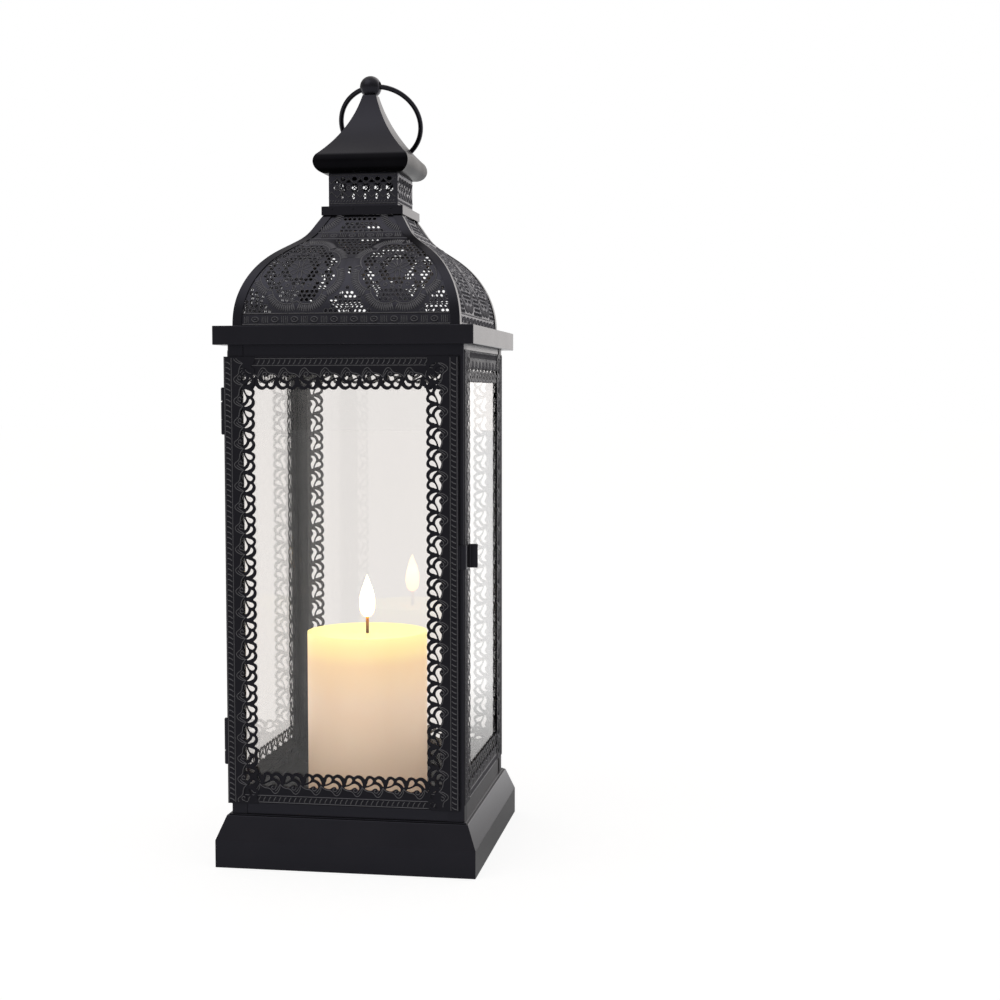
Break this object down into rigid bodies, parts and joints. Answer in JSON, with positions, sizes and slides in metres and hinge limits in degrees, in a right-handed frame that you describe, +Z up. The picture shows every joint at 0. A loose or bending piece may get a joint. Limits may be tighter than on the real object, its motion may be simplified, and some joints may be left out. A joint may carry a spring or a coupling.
{
  "type": "lantern",
  "caption": "Tall square metal lantern with pierced lace borders, a glazed hinged door, a pierced ogee dome, a chimney cap, a hanging ring and a battery pillar candle.",
  "frame": {"origin": "centre of the base's underside, on the table", "axes": "+Z up along the lantern, -Y towards the door, the hinges are at -X and the latch at +X"},
  "size_m": [0.1642, 0.1642, 0.4983],
  "materials": {
    "black_metal": "satin black powder coat",
    "black_wire": "satin black coated wire",
    "clear_glass": "clear float glass",
    "ivory_wax": "smooth ivory wax over the battery candle",
    "wick": "matt black wick",
    "flame_bulb": "frosted glowing flame tip",
    "housing_plastic": "plain moulded ivory plastic",
    "cell_jacket": "plain glossy dark sleeve",
    "switch_plastic": "matt black plastic",
    "screw_steel": "zinc plated steel"
  },
  "bodies": {
    "lantern": {"base_panel_back": "black_metal", "base_panel_front": "black_metal", "base_panel_left": "black_metal", "base_panel_right": "black_metal", "bottom_rail_back": "black_metal", "bottom_rail_front": "black_metal", "bottom_rail_left": "black_metal", "bottom_rail_right": "black_metal", "cap": "black_metal", "chimney": "black_metal", "collar": "black_metal", "corner_post_back_left": "black_metal", "corner_post_back_right": "black_metal", "corner_post_front_left": "black_metal", "corner_post_front_right": "black_metal", "cornice": "black_metal", "dome_panel_back": "black_metal", "dome_panel_front": "black_metal", "dome_panel_left": "black_metal", "dome_panel_right": "black_metal", "dome_rib_back_left": "black_metal", "dome_rib_back_right": "black_metal", "dome_rib_front_left": "black_metal", "dome_rib_front_right": "black_metal", "finial_ball": "black_metal", "finial_screw": "screw_steel", "floor_plate": "black_metal", "glass_back": "clear_glass", "glass_clips": "black_metal", "glass_left": "clear_glass", "glass_right": "clear_glass", "hinge_leaves_post": "black_metal", "hinge_pins": "black_metal", "lace_crosses_back": "black_metal", "lace_crosses_left": "black_metal", "lace_crosses_right": "black_metal", "lace_uprights_back": "black_metal", "lace_uprights_left": "black_metal", "lace_uprights_right": "black_metal", "top_rail_back": "black_metal", "top_rail_front": "black_metal", "top_rail_left": "black_metal", "top_rail_right": "black_metal"},
    "door": {"door_rail_bottom": "black_metal", "door_stile_right": "black_metal", "door_rail_top": "black_metal", "door_stile_left": "black_metal", "door_lace_left": "black_metal", "door_lace_right": "black_metal", "door_lace_top": "black_metal", "door_lace_bottom": "black_metal", "door_glass": "clear_glass", "hinge_leaves_door": "black_metal"},
    "latch": {"door_latch": "black_metal"},
    "ring": {"handle_ring": "black_wire"},
    "candle": {"candle_wax": "ivory_wax", "candle_wick": "wick", "candle_flame": "flame_bulb", "battery_housing": "housing_plastic", "battery_cover": "housing_plastic", "battery_cells": "cell_jacket"},
    "switch": {"candle_switch": "switch_plastic"}
  },
  "joints": [
    {"name": "door_hinge", "type": "hinge", "parent": "lantern", "child": "door", "pos_m": [-0.07635, -0.0746, 0.178], "axis": [0, 0, -1], "range_deg": [0, 175]},
    {"name": "latch_flex", "type": "hinge", "parent": "door", "child": "latch", "pos_m": [0.071, -0.0769, 0.1953], "axis": [0, 0, -1], "range_deg": [0, 6], "stiffness_Nm_per_rad": 0.07},
    {"name": "ring_swing", "type": "hinge", "parent": "lantern", "child": "ring", "pos_m": [0, 0, 0.4913], "axis": [0.9925, -0.068, 0.1012], "range_deg": [0, 291]},
    {"name": "candle_lift", "type": "slide", "parent": "lantern", "child": "candle", "axis": [0, 0, 1], "range_m": [0, 0.1]},
    {"name": "switch_slide", "type": "slide", "parent": "candle", "child": "switch", "axis": [1, 0, 0], "range_m": [0, 0.003]}
  ]
}
